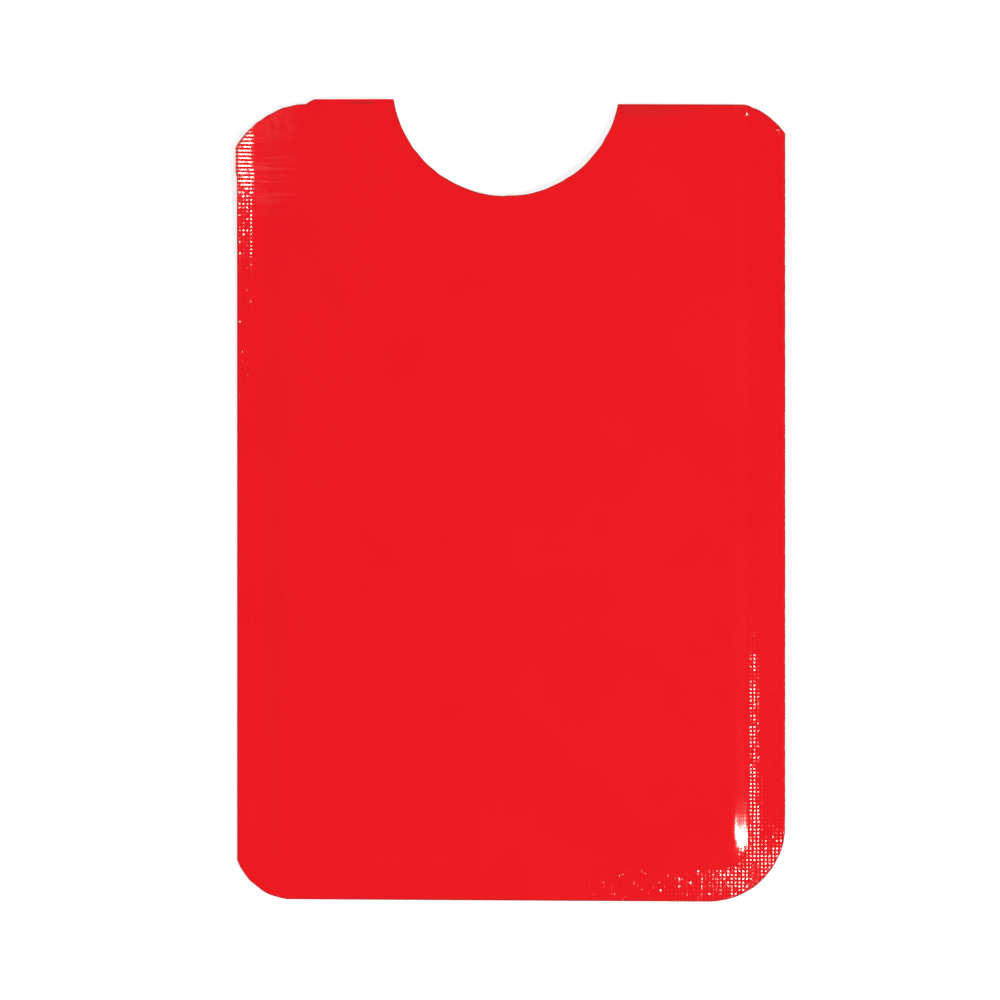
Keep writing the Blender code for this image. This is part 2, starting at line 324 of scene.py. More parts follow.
def upper_edge():
    """The cut edge from the left side over the mouth and the notch to the right side."""
    reach_x, reach_y, radius = TOP_LEFT_CUT
    step_x, step_y = TOP_LEFT_STEP
    left = arc((LEFT + reach_x, MOUTH - step_y), (LEFT, MOUTH - reach_y), radius)[::-1]
    left = np.concatenate([left, [(LEFT + reach_x + step_x, MOUTH)]])
    drop_left = NOTCH_Y - MOUTH
    drop_right = NOTCH_Y - RIGHT_MOUTH
    notch_left = (NOTCH_X - math.sqrt(NOTCH_RADIUS**2 - drop_left**2), MOUTH)
    notch_right = (NOTCH_X + math.sqrt(NOTCH_RADIUS**2 - drop_right**2), RIGHT_MOUTH)
    notch = arc(notch_right, notch_left, NOTCH_RADIUS, hollow=True)[::-1]
    reach_x, reach_y, radius = TOP_RIGHT_CUT
    right = arc((RIGHT, RIGHT_MOUTH - reach_y), (RIGHT - reach_x, RIGHT_MOUTH), radius)[::-1]
    return np.concatenate([left, notch, right])


LOWER = lower_edge()
UPPER = upper_edge()
NOTCH_ENDS = UPPER[ARC_STEPS + 2], UPPER[2 * ARC_STEPS + 2]


def bottom_at(x):
    """Where the sleeve begins in a column of the plan."""
    return np.interp(x, LOWER[:, 0], LOWER[:, 1])


def top_at(x):
    """Where the sleeve ends in a column of the plan: the mouth, the notch or a corner."""
    return np.interp(x, UPPER[:, 0], UPPER[:, 1])


def swell(value, middle, reach):
    """A smooth swell of height 1, the exponential of minus the squared distance over its reach."""
    return np.exp(-(((value - middle) / reach) ** 2))


def hill(x, y, middle, reach):
    """A smooth round hill: a swell across times a swell along."""
    return swell(x, middle[0], reach[0]) * swell(y, middle[1], reach[1])


def rounded_depth(a, b, radius):
    """How deep a place is behind two square edges whose corner is rounded to that radius."""
    corner = radius - np.hypot(np.clip(radius - a, 0, None), np.clip(radius - b, 0, None))
    return np.where((a < radius) & (b < radius), corner, np.minimum(a, b))


def pocket_depth(x, y):
    """How far inside the pocket's square plan a place is, with its two lower corners rounded."""
    from_left = x - POCKET_LEFT
    from_right = POCKET_RIGHT - x
    from_floor = y - POCKET_FLOOR
    right = rounded_depth(from_right, from_floor, CORNER_ROUND)
    left = rounded_depth(from_left, from_floor, CORNER_ROUND)
    return np.minimum(left, right)


def rise(x, y):
    """How far the front wall stands over its seals.

    An eased shoulder climbs from just outside the right and bottom seals' inner edges, and from some
    way inside the left one. Beside the bent corner the right shoulder leans first in and then out.
    A parabola across times a parabola along the panel is added for its crown, highest at the middle
    of the mouth.
    """
    from_floor = y - POCKET_FLOOR + SHOULDER_START
    (reach_in, start_in, run_in), (reach_out, start_out, run_out) = LEAN_IN, LEAN_OUT
    lean = reach_out * beyond(-y, -start_out, run_out) - reach_in * beyond(-y, -start_in, run_in)
    right = rounded_depth(POCKET_RIGHT - x + SHOULDER_START + lean, from_floor, CORNER_ROUND)
    left = rounded_depth(x - POCKET_LEFT - SHOULDER_LAG, from_floor, CORNER_ROUND)
    plateau = ease(np.minimum(left, right) / SHOULDER_RUN)
    across = np.clip((x - POCKET_LEFT) / (POCKET_RIGHT - POCKET_LEFT), 0, 1)
    along = np.clip((y - POCKET_FLOOR) / (MOUTH - POCKET_FLOOR), 0, 1)
    crown = 4 * across * (1 - across) * along * (2 - along)
    return SHOULDER_RISE * plateau + CROWN_HEIGHT * crown


def bend_profile():
    """Height of the bent corner over the way out from its middle: the sum of its slope from outside."""
    way = np.linspace(0, BEND_WIDTH, 401)
    slope = BEND_SLOPE * beyond(way, *BEND_START) * (1 - beyond(way, *BEND_END))
    height = np.cumsum(slope[::-1])[::-1] * (way[1] - way[0])
    return way, height


BEND_WAY, BEND_HEIGHT = bend_profile()


def curl_share(y):
    """How much of its full slope the left border's curl has: a faint start, then most of it."""
    return sum(share * beyond(y, start, run) for share, start, run in (FAINT_CURL, MAIN_CURL))


def lift(x, y):
    """How far both walls stand over the table.

    The left border curls up towards the top: level, then a parabola, then a straight slope. The lower
    right corner is bent: a quarter of a cone falls outwards round a middle inside it, times a hill
    that lets the bend die away.
    """
    into = np.clip(CURL_START - x, 0, None)
    ramp = np.where(into < CURL_BEND, into**2 / (2 * CURL_BEND), into - CURL_BEND / 2)
    curl = CURL_SLOPE * ramp * curl_share(y)
    way = np.hypot(np.clip(x - BEND_MIDDLE[0], 0, None), np.clip(BEND_MIDDLE[1] - y, 0, None))
    bend = np.interp(way, BEND_WAY, BEND_HEIGHT)
    return curl + bend * hill(x, y, *BEND_HILL)


def tooth(phase):
    """One tooth of a sealing bar: a straight flank up, a narrow flat, a straight flank down."""
    return np.interp(phase - np.floor(phase), TOOTH_PHASES, [0, 1, 1, 0])


def pressed_places(x, y):
    """Shares from 0 to 1 of the places that the sealing bars pressed in their own way.

    left is the left border, curl its curled upper part and bars the top of that. corner is the lower
    right corner, pocket_corner the pocket's own corner beside it, and ridge the inner edge of the
    right seal from its middle down. bottom is the bottom border, and floor its right end.
    """
    left = beyond(-x, *LEFT_BORDER)
    bottom = beyond(-y, *BOTTOM_BORDER)
    ridge = swell(x, *RIDGE_ACROSS) * beyond(-y, *RIDGE_ALONG)
    return {
        "all": 1.0,
        "left": left,
        "curl": left * beyond(y, *CURL_PART),
        "bars": left * beyond(y, *BARS_PART),
        "corner": hill(x, y, *LOWER_CORNER),
        "pocket_corner": hill(x, y, *POCKET_CORNER),
        "ridge": ridge * (1 - RIDGE_GAP_SHARE * swell(y, *RIDGE_GAP)),
        "bottom": bottom,
        "floor": bottom * beyond(x, *FLOOR_END),
    }


def weighted(weights, places):
    """The sum of each named place's share times its weight."""
    return sum(weight * places[name] for name, weight in weights.items())


def upright_depth(x, y, places):
    """Depth of the upright grooves before the cells' unevenness.

    On the left border they give way as the curl steepens. Specks are single deep cells, where a
    noise passes a threshold, on the bottom and left borders.
    """
    depth = weighted(UPRIGHT_DEPTH, places)
    base, extra = LEFT_UPRIGHT_LIMIT
    limit = base + extra * beyond(y, *LEFT_LIMIT_PART)
    fading = np.clip(LEFT_UPRIGHT - CURL_UPRIGHT * curl_share(y), 0, limit)
    depth = depth + places["left"] * (fading - depth)
    along_bottom = places["bottom"] * beyond(x, *BOTTOM_SPECKS)
    along_left = (places["left"] - places["bars"]) * beyond(y, *LEFT_SPECKS)
    specks = np.clip((soft_noise(x, y, *SPECK_NOISE) - SPECK_OVER) / SPECK_RANGE, 0, 1)
    return depth + SPECK_DEPTH * specks * (along_bottom + along_left)


def crimp_depths(x, y, unevenness=1.0):
    """Depth of the mesh's upright and level grooves at a place, in metres.

    A mask holds them to the seals, with a faint trail beyond, calmer where it crosses the pocket's
    corner. The bars pressed harder along the ridge, at the lower corner and along the floor. Noise of
    a cell's size and of several cells' size makes them uneven.
    """
    places = pressed_places(x, y)
    inner = pocket_depth(x, y) + LEFT_SEAL_SHIFT * places["left"]
    seal = beyond(-inner, -SEAL_EDGE, SEAL_SOFTNESS)
    trail = weighted(TRAIL_SHARE, places) * (1 - beyond(inner, 0.0, TRAIL_REACH))
    mask = np.maximum(seal, trail)
    calm = 1 - TRAIL_CALM * places["pocket_corner"] * (1 - seal)
    floor_only = np.clip(places["floor"] - places["corner"], 0, 1)
    noise_x = weighted(UPRIGHT_NOISE, places) * soft_noise(x, y, *CELL_NOISE_X)
    noise_x = noise_x + WIDE_SHARE_X * soft_noise(x, y, *WIDE_NOISE_X)
    noise_x = noise_x + FLOOR_NOISE_SHARE * floor_only * soft_noise(x, y, *FLOOR_NOISE)
    noise_y = CELL_SHARE_Y * soft_noise(x, y, *CELL_NOISE_Y)
    noise_y = noise_y + WIDE_SHARE_Y * soft_noise(x, y, *WIDE_NOISE_Y)
    upright = upright_depth(x, y, places) * mask * calm * (1 + unevenness * noise_x)
    level = weighted(LEVEL_DEPTH, places) * mask * (1 + unevenness * noise_y)
    return upright, level


def crimp(x, y):
    """How far the mesh stands out of a border: teeth across plus teeth along, each to its depth."""
    upright, level = crimp_depths(x, y)
    return upright * tooth((x - LEFT) / CELL_X) + level * tooth(y / CELL_Y)


def shift_left(x, y):
    """How far the uneven cut moves a place to the left.

    Small bites of half a cell's size make the right edge ragged, and a strip of the left edge stands
    proud above its start. Both die away inwards.
    """
    bite, bite_reach = RIGHT_BITES
    bites = np.clip(soft_noise(x, y, *BITE_NOISE) + 0.3, 0, 1)
    bites = bites * beyond(x, RIGHT - bite_reach, bite_reach)
    proud, proud_reach = LEFT_PROUD
    strip = beyond(y, LEFT_PROUD_START, LEFT_PROUD_RUN) * beyond(-x, -LEFT - proud_reach, proud_reach)
    return bite * bites + proud * strip


def front_face(x, y):
    """The outer side of the front film, with its crimp and a few small dents."""
    dents = sum(high * hill(x, y, (dx, dy), (reach, reach)) for dx, dy, reach, high in DENTS)
    return FRONT_FILM[1] + rise(x, y) + lift(x, y) + crimp(x, y) + dents


def front_at(height):
    """The surface of a front layer at that height over the seals."""
    return lambda x, y: height + rise(x, y) + lift(x, y)


def back_at(height):
    """The surface of a back layer at that height."""
    return lambda x, y: height + lift(x, y)


def back_face(x, y):
    """The outer side of the back film, into which the mesh is pressed more weakly."""
    return BACK_FILM[0] + lift(x, y) - BACK_CRIMP * crimp(x, y)


def mesh_lines(first_cell, last_cell, size, start):
    """Lines through a run of mesh cells, at each change of a tooth's slope, both ends included."""
    cells = np.arange(first_cell, last_cell)
    inner = (cells[:, None] + TOOTH_PHASES[None, :]).ravel()
    return start + size * np.concatenate([[first_cell], inner, [last_cell]])


def even_lines(low, high, step):
    """Lines about that step apart, both ends included."""
    steps = max(1, math.ceil((high - low) / step - 1e-9))
    return np.linspace(low, high, steps + 1)


def merged(*runs):
    """All lines of these runs in order, without any that nearly coincide."""
    lines = np.sort(np.concatenate(runs))
    keep = np.concatenate([[True], np.diff(lines) > NEAR_LINES])
    return lines[keep]


class Net:
    """A net over the sleeve's plan: columns at fixed x, rows at fixed y, cut off at the outline.

    A row that would pass the outline in a column is drawn back onto it, and rows drawn back to one
    point count as one, so the net's rim is the outline itself.
    """

    def __init__(self, columns, rows, low, high):
        self.rows = rows
        first = np.searchsorted(rows, low, side="right") - 1
        last = np.searchsorted(rows, high, side="left")
        self.first = np.clip(first, 0, len(rows) - 1)
        self.last = np.clip(last, 0, len(rows) - 1)
        grid_x, grid_y = np.meshgrid(columns, rows, indexing="ij")
        self.x = grid_x
        self.y = np.clip(grid_y, low[:, None], high[:, None])
        order = np.arange(len(rows))[None, :]
        own = np.clip(order, self.first[:, None], self.last[:, None])
        self.index = np.arange(len(columns))[:, None] * len(rows) + own

    def faces(self):
        """Corners of each square, and of each triangle where a square has lost a corner."""
        a = self.index[:-1, :-1].ravel()
        b = self.index[1:, :-1].ravel()
        c = self.index[1:, 1:].ravel()
        d = self.index[:-1, 1:].ravel()
        whole = (a != d) & (b != c)
        right = (a == d) & (b != c)
        left = (a != d) & (b == c)
        squares = np.stack([a, b, c, d], axis=1)[whole]
        triangles = np.concatenate(
            [np.stack([a, b, c], axis=1)[right], np.stack([a, b, d], axis=1)[left]]
        )
        return squares, triangles

    def low_rim(self):
        """The net's points along its lower rim, one a column."""
        return self.index[:, 0]

    def high_rim(self):
        """The net's points along its upper rim, one a column."""
        return self.index[:, -1]


def rim_wall(upper, lower, flip):
    """Squares between two rims that run side by side."""
    wall = np.stack([upper[:-1], lower[:-1], lower[1:], upper[1:]], axis=1)
    return wall[:, ::-1] if flip else wall


def side_wall(fine, coarse, column, flip):
    """Triangles between the fine and the coarse side of a net in its first or last column.

    Each fine step joins the coarse row under it, and each coarse step joins the fine row above its
    far end. The coarse net's points are numbered from FAR on.
    """
    first, last = fine.first[column], fine.last[column]
    base = fine.index[column, 0] - first
    steps = np.arange(first, last)
    row = np.searchsorted(coarse.rows, fine.rows[steps] + ROUND_OFF, side="right") - 1
    row = np.clip(row, coarse.first[column], coarse.last[column] - 1)
    shift = coarse.index[column, 0] - coarse.first[column]
    fans = np.stack([base + steps, base + steps + 1, FAR + shift + row], axis=1)
    rows = np.arange(coarse.first[column], coarse.last[column])
    ends = np.searchsorted(fine.rows, coarse.rows[rows + 1] - ROUND_OFF)
    ends = np.clip(ends, first, last)
    closers = np.stack([FAR + shift + rows, base + ends, FAR + shift + rows + 1], axis=1)
    wall = np.concatenate([fans, closers])
    return wall[:, ::-1] if flip else wall


def sheet_faces(fine, far, fine_up):
    """Faces of a closed sheet: fours, threes, and how many at the end of each are walls.

    Walls join the two nets' rims, and side walls their first and last columns. The far net's points
    follow the fine net's.
    """
    squares, triangles = fine.faces()
    far_squares, far_triangles = far.faces()
    walls = [
        rim_wall(fine.low_rim(), FAR + far.low_rim(), False),
        rim_wall(fine.high_rim(), FAR + far.high_rim(), True),
    ]
    sides = [side_wall(fine, far, 0, False), side_wall(fine, far, -1, True)]
    four = np.concatenate([squares, far_squares[:, ::-1] + FAR, *walls])
    three = np.concatenate([triangles, far_triangles[:, ::-1] + FAR, *sides])
    if not fine_up:
        four = four[:, ::-1]
        three = three[:, ::-1]
    four = np.where(four >= FAR, four - FAR + fine.x.size, four)
    three = np.where(three >= FAR, three - FAR + fine.x.size, three)
    return four, three, sum(map(len, walls)), sum(map(len, sides))


def thin_sheet(name, columns, rows, coarse_rows, fine_face, far_face, fine_up=True, inset=0.0):
    """A thin closed sheet over the plan between two surfaces, each a height over x and y.

    The fine side has a net of all columns and rows, the far side all columns and fewer rows. Walls
    and crimped squares are flat shaded. Each point keeps its way to the cut edge as an attribute.
    """
    low = np.maximum(bottom_at(columns) + inset, rows[0])
    high = np.minimum(top_at(columns) - inset, rows[-1])
    fine = Net(columns, rows, low, high)
    far = Net(columns, coarse_rows, low, high)
    four, three, wall_count, side_count = sheet_faces(fine, far, fine_up)
    x = np.concatenate([fine.x.ravel(), far.x.ravel()])
    y = np.concatenate([fine.y.ravel(), far.y.ravel()])
    z = np.concatenate([fine_face(fine.x, fine.y).ravel(), far_face(far.x, far.y).ravel()])
    used = np.unique(np.concatenate([four.ravel(), three.ravel()]))
    renumber = np.zeros(len(x), dtype=int)
    renumber[used] = np.arange(len(used))
    points = np.stack([x - shift_left(x, y), y, z], axis=1)[used]
    faces = renumber[four].tolist() + renumber[three].tolist()
    mesh = bpy.data.meshes.new(name)
    mesh.from_pydata(points.tolist(), [], faces)
    flat = np.zeros(len(faces), dtype=bool)
    flat[len(four) - wall_count : len(four)] = True
    flat[len(faces) - side_count :] = True
    if fine_face in (front_face, back_face):
        squares = renumber[fine.faces()[0]]
        middles = points[squares].mean(axis=1)
        depths = crimp_depths(middles[:, 0], middles[:, 1], 0.0)
        flat[: len(squares)] = np.maximum(*depths) > CRIMPED_OVER
    mesh.set_sharp_from_angle(angle=SHARP_ANGLE)
    mesh.polygons.foreach_set("use_smooth", ~flat)
    near = edge_distance(points[:, 0], points[:, 1])
    mark = mesh.attributes.new("edge_mm", "FLOAT", "POINT")
    mark.data.foreach_set("value", near / MM)
    mesh.update()
    piece = bpy.data.objects.new(name, mesh)
    bpy.context.scene.collection.objects.link(piece)
    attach(piece, "root")
    return piece


def edge_distance(x, y):
    """Shortest way to the cut edge, up to a limit: the least distance to the outline's short straights.

    Places well inside are left out, and the others are worked out in batches that fit the memory.
    """
    outline = np.concatenate([LOWER, UPPER[::-1]])[::4]
    steps = np.roll(outline, -1, axis=0) - outline
    length = (steps**2).sum(axis=1)
    starts, steps, length = outline[length > 0], steps[length > 0], length[length > 0]
    nearest = np.full(len(x), EDGE_LIMIT)
    inside = (x - LEFT > EDGE_LIMIT) & (RIGHT - x > EDGE_LIMIT)
    inside &= (y - bottom_at(x) > 2 * EDGE_LIMIT) & (top_at(x) - y > 4 * EDGE_LIMIT)
    check = np.flatnonzero(~inside)
    for first in range(0, len(check), BATCH):
        part = check[first : first + BATCH]
        dx = x[part][:, None] - starts[:, 0]
        dy = y[part][:, None] - starts[:, 1]
        along = np.clip((dx * steps[:, 0] + dy * steps[:, 1]) / length, 0, 1)
        gap = np.hypot(dx - along * steps[:, 0], dy - along * steps[:, 1]).min(axis=1)
        nearest[part] = np.minimum(nearest[part], gap)
    return nearest


class Wire:
    """A value socket on which Python's operators add Math nodes."""

    def __init__(self, recipe, socket):
        self.recipe = recipe
        self.socket = socket

    def math(self, operation, *others):
        """The result of a Math node with this value first."""
        values = dict(enumerate((self, *others)))
        return self.recipe.value("ShaderNodeMath", {"operation": operation}, values)

    def __add__(self, other):
        return self.math("ADD", other)

    __radd__ = __add__

    def __sub__(self, other):
        return self.math("SUBTRACT", other)

    def __rsub__(self, other):
        return self.recipe.number(other).math("SUBTRACT", self)

    def __mul__(self, other):
        return self.math("MULTIPLY", other)

    __rmul__ = __mul__

    def between(self, low, high):
        """0 at low, 1 at high, eased between them."""
        settings = {"interpolation_type": "SMOOTHSTEP"}
        values = {"Value": self, "From Min": low, "From Max": high, "To Min": 0.0, "To Max": 1.0}
        return self.recipe.value("ShaderNodeMapRange", settings, values)


class Recipe:
    """A material or world in the making, with the shader that it comes with."""

    def __init__(self, owner, shader="Principled BSDF"):
        self.owner = owner
        owner.use_nodes = True
        self.tree = owner.node_tree
        self.shader = self.tree.nodes[shader]

    def node(self, kind, settings=None, values=None):
        """Adds a node of that type, with its settings first and then its sockets' values or links."""
        made = self.tree.nodes.new(kind)
        for key, setting in (settings or {}).items():
            setattr(made, key, setting)
        for key, given in (values or {}).items():
            self.fill(made.inputs[key], given)
        return made

    def fill(self, socket, given):
        """Links a socket to a wire or another socket, or sets its value."""
        if isinstance(given, Wire):
            self.tree.links.new(given.socket, socket)
        elif isinstance(given, bpy.types.NodeSocket):
            self.tree.links.new(given, socket)
        else:
            socket.default_value = given

    def value(self, kind, settings=None, values=None, output=0):
        """A new node's output as a wire."""
        return Wire(self, self.node(kind, settings, values).outputs[output])

    def number(self, given):
        """A plain number as a wire, for the left side of a subtraction."""
        made = self.tree.nodes.new("ShaderNodeValue")
        made.outputs[0].default_value = given
        return Wire(self, made.outputs[0])

    def place(self):
        """Object coordinates, which are metres here."""
        return self.node("ShaderNodeTexCoord").outputs["Object"]

    def mapped(self, turn, scale):
        """The place turned about Z and stretched, for streaky noise."""
        values = {"Vector": self.place(), "Rotation": (0.0, 0.0, turn), "Scale": scale}
        return self.node("ShaderNodeMapping", None, values).outputs["Vector"]

    def noise(self, scale, detail, where=None):
        """Smooth noise, a number from about 0 to 1, with features 1 over scale metres wide."""
        values = {"Vector": where or self.place(), "Scale": scale, "Detail": detail}
        return self.value("ShaderNodeTexNoise", None, values, "Fac")

    def attribute(self, name):
        """A number that the mesh carries at its points."""
        settings = {"attribute_type": "GEOMETRY", "attribute_name": name}
        return self.value("ShaderNodeAttribute", settings, None, "Fac")

    def mix(self, share, first, second):
        """A colour between two, by a share from 0 to 1."""
        made = self.node("ShaderNodeMix", {"data_type": "RGBA"}, {0: share})
        self.fill(made.inputs[6], first)
        self.fill(made.inputs[7], second)
        return made.outputs[2]

    def part(self, axis):
        """One coordinate of the place, in metres."""
        return self.value("ShaderNodeSeparateXYZ", None, {"Vector": self.place()}, axis)

    def bump(self, height, distance):
        """A normal tilted by a height from 0 to 1 that stands for that distance in metres."""
        values = {"Height": height, "Distance": distance}
        return self.node("ShaderNodeBump", None, values).outputs["Normal"]

    def set(self, **sockets):
        """Fills the shader's sockets, whose spaces are written as underscores."""
        for key, given in sockets.items():
            self.fill(self.shader.inputs[key.replace("_", " ")], given)


def painted_shade_patch(across, along):
    """Painted shade: a darker patch at the mouth right of the notch, fainter towards the right."""
    patch = along.between(*SHADE_PATCH_UP) * across.between(*SHADE_PATCH_RIGHT)
    return patch * (1 - 0.65 * across.between(*SHADE_PATCH_FADING))


def painted_seal_glare(recipe, across, along):
    """Painted highlight at the upper left seal: a glare cloud round its corner, and glare streaks
    across beside it below.
    """
    from_corner = {0: recipe.place(), 1: GLARE_MIDDLE}
    away = recipe.value("ShaderNodeVectorMath", {"operation": "DISTANCE"}, from_corner, "Value")
    cloud = (1 - away.between(*GLARE_AWAY)) * recipe.noise(1100.0, 3.0).between(0.25, 0.75)
    ripple = recipe.noise(1.0, 3.0, recipe.mapped(0.0, (150.0, 3200.0, 400.0))).between(0.44, 0.70)
    beside = along.between(*GLARE_STREAKS_UP) * (1 - along.between(*GLARE_STREAKS_TOP))
    beside = beside * (1 - across.between(*GLARE_STREAKS_FADING)) * across.between(*GLARE_STREAKS_LEFT)
    return cloud + beside * (1.3 * ripple + 0.35 * recipe.noise(3600.0, 2.0).between(0.35, 0.7))


def red_film_material(name, scuffing):
    """Glossy red film: faint clouds, hairlines where smeared, a patch of painted shade, painted glare
    at the upper left seal, and a dull cut edge.

    Each mark is a share from 0 to 1 that mixes its colour over the ones before it.
    """
    recipe = Recipe(bpy.data.materials.new(name))
    across = recipe.part("X")
    along = recipe.part("Y")
    cloud = recipe.noise(90.0, 3.0)
    grain = recipe.noise(2600.0, 2.0)
    peel = recipe.noise(900.0, 2.0)
    hairlines = recipe.noise(1.0, 3.0, recipe.mapped(0.9, (2600.0, 60.0, 400.0))).between(0.62, 0.85)
    smears = recipe.noise(140.0, 4.0, recipe.mapped(-0.35, (1.0, 3.2, 1.0))).between(0.56, 0.74)
    scuff = hairlines * smears * scuffing
    cut = 1 - recipe.attribute("edge_mm").between(*CUT_EDGE_MM)
    red = recipe.mix(cloud.between(0.25, 0.75), RED_LOW, RED_HIGH)
    dusty = recipe.mix(scuff, red, DUST_AND_GLARE_RED)
    # painted shade: a darker patch at the mouth right of the notch
    dull = recipe.mix(painted_shade_patch(across, along) * 0.85, dusty, PAINTED_SHADE_RED)
    # painted highlight: glare round the upper left corner and streaks beside the seal
    with_painted_glare = recipe.mix(painted_seal_glare(recipe, across, along) * 0.4, dull, DUST_AND_GLARE_RED)
    colour = recipe.mix(cut * 0.9, with_painted_glare, CUT_RED)
    roughness = 0.08 + 0.03 * cloud + 0.03 * grain + 0.22 * scuff + 0.30 * cut
    normal = recipe.bump(peel * 0.8 + grain * 0.2, 0.000004)
    recipe.set(Base_Color=colour, Roughness=roughness, Normal=normal, IOR=1.47)
    return recipe.owner


def foil_material():
    """Bright aluminium foil with fine rolling lines."""
    recipe = Recipe(bpy.data.materials.new("rolled_foil"))
    lines = recipe.noise(1.0, 3.0, recipe.mapped(0.0, (9000.0, 160.0, 3000.0)))
    cloud = recipe.noise(240.0, 2.0)
    colour = recipe.mix(lines, (0.72, 0.72, 0.74, 1), (0.86, 0.86, 0.88, 1))
    recipe.set(Base_Color=colour, Roughness=0.22 + 0.14 * lines + 0.06 * cloud, Metallic=1.0)
    recipe.set(Normal=recipe.bump(lines, 0.000006))
    return recipe.owner


def liner_material():
    """Satin, milky polyethylene, a little uneven."""
    recipe = Recipe(bpy.data.materials.new("milky_liner"))
    cloud = recipe.noise(420.0, 3.0)
    grain = recipe.noise(5200.0, 2.0)
    colour = recipe.mix(cloud, (0.72, 0.71, 0.68, 1), (0.82, 0.81, 0.79, 1))
    recipe.set(Base_Color=colour, Roughness=0.42 + 0.12 * cloud + 0.08 * grain, IOR=1.5)
    recipe.set(Normal=recipe.bump(grain, 0.000005))
    return recipe.owner


def seal_material():
    """Fused polyethylene at the seals: greyer and glassier where it has flowed."""
    recipe = Recipe(bpy.data.materials.new("fused_seal"))
    flow = recipe.noise(1500.0, 3.0)
    grain = recipe.noise(7000.0, 2.0)
    colour = recipe.mix(flow.between(0.3, 0.7), (0.60, 0.58, 0.55, 1), (0.76, 0.74, 0.72, 1))
    recipe.set(Base_Color=colour, Roughness=0.50 - 0.18 * flow + 0.06 * grain, IOR=1.5)
    recipe.set(Normal=recipe.bump(flow, 0.000008))
    return recipe.owner


def dress(piece, material, node):
    """Gives a piece its material and hides the solid whose place it takes."""
    piece.data.materials.append(material)
    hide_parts(node)


def border_lines():
    """Side, columns and rows of the left, right and bottom borders, on the lines of their teeth."""
    last = CELLS_ACROSS - RIGHT_CELLS
    tall_rows = mesh_lines(-CELLS_UP, CELLS_UP, CELL_Y, 0.0)
    floor_rows = mesh_lines(-CELLS_UP, -CELLS_TO_FLOOR, CELL_Y, 0.0)
    return [
        ("left", mesh_lines(0, LEFT_CELLS, CELL_X, LEFT), tall_rows),
        ("right", mesh_lines(last, CELLS_ACROSS, CELL_X, LEFT), tall_rows),
        ("bottom", mesh_lines(LEFT_CELLS, last, CELL_X, LEFT), floor_rows),
    ]


def notch_columns(radius, count):
    """Columns through points spread evenly round a notch of that radius, closer at its ends."""
    angles = np.linspace(NOTCH_ANGLE, math.pi - NOTCH_ANGLE, count)
    return np.sort(NOTCH_X - radius * np.cos(angles))


def far_rows(rows):
    """Fewer rows for a front border's hidden side: every eighth, and half of those on the shoulder."""
    low, high = SHOULDER_ROWS
    shoulder = rows[(rows > low) & (rows < high)]
    return merged(rows[::8], shoulder[::2], rows[[0, -1]])


def build_front_film(material):
    """Three borders with the fine mesh and the panel between them."""
    under = front_at(FRONT_FILM[0])
    pieces = []
    for side, columns, rows in border_lines():
        name = f"front_film_{side}_border"
        pieces.append(thin_sheet(name, columns, rows, far_rows(rows), front_face, under))
    columns = merged(
        even_lines(LEFT_SEAM, RIGHT_SEAM, FRONT_STEP),
        notch_columns(NOTCH_RADIUS, 90),
        np.array([NOTCH_ENDS[0][0], NOTCH_ENDS[1][0]]),
    )
    columns = columns[(columns >= LEFT_SEAM - SEAM_SLACK) & (columns <= RIGHT_SEAM + SEAM_SLACK)]
    rows = even_lines(FLOOR_SEAM, MOUTH + FILM_PAST, FRONT_STEP)
    pieces.append(thin_sheet("front_film_panel", columns, rows, rows, front_face, under))
    for piece in pieces:
        dress(piece, material, "front_cover_film")


def inner_lines():
    """Columns and rows of the hidden layers: close on the shoulders and the curl, wider elsewhere."""
    left_shoulder = POCKET_LEFT + 2.0 * MM
    right_shoulder = POCKET_RIGHT - SHOULDER_SPAN
    floor_shoulder = POCKET_FLOOR + SHOULDER_SPAN
    bend_end = -34 * MM
    columns = merged(
        even_lines(LEFT + EDGE_INSET, POCKET_LEFT, BORDER_STEP),
        even_lines(POCKET_LEFT, left_shoulder, FINE_STEP),
        even_lines(left_shoulder, right_shoulder, BACK_STEP),
        even_lines(right_shoulder, POCKET_RIGHT, FINE_STEP),
        even_lines(POCKET_RIGHT, RIGHT - EDGE_INSET, BORDER_STEP),
        notch_columns(NOTCH_RADIUS + EDGE_INSET, 60),
    )
    rows = merged(
        even_lines(BOTTOM - LAYER_PAST, POCKET_FLOOR, FLOOR_STEP),
        even_lines(POCKET_FLOOR, floor_shoulder, FINE_STEP),
        even_lines(floor_shoulder, bend_end, BORDER_STEP),
        even_lines(bend_end, MOUTH + LAYER_PAST, BACK_STEP),
    )
    return columns, rows


def build_layers(foil, liner):
    """The foils and liners inside both films, each one sheet over the whole plan."""
    columns, rows = inner_lines()
    layers = {
        "front_foil_sheet": ("front_foil", FRONT_FOIL, front_at, foil, "foil"),
        "front_liner_sheet": ("front_liner", FRONT_LINER, front_at, liner, "liner"),
        "back_foil_sheet": ("back_foil", BACK_FOIL, back_at, foil, "foil"),
        "back_liner_sheet": ("back_liner", BACK_LINER, back_at, liner, "liner"),
    }
    for name, (node, (low, high), surface, material, slot) in layers.items():
        piece = thin_sheet(name, columns, rows, rows, surface(high), surface(low), inset=EDGE_INSET)
        dress(piece, material, node)


def build_back_film(material):
    """The same four pieces as the front film's, with a coarser panel."""
    over = back_at(BACK_FILM[1])
    pieces = []
    for side, columns, rows in border_lines():
        few = merged(rows[::8], rows[[0, -1]])
        name = f"back_film_{side}_border"
        pieces.append(thin_sheet(name, columns, rows, few, back_face, over, fine_up=False))
    columns = merged(even_lines(LEFT_SEAM, RIGHT_SEAM, BACK_STEP), notch_columns(NOTCH_RADIUS, 90))
    rows = even_lines(FLOOR_SEAM, MOUTH + FILM_PAST, BACK_STEP)
    pieces.append(thin_sheet("back_film_panel", columns, rows, rows, back_face, over, fine_up=False))
    for piece in pieces:
        dress(piece, material, "back_cover_film")


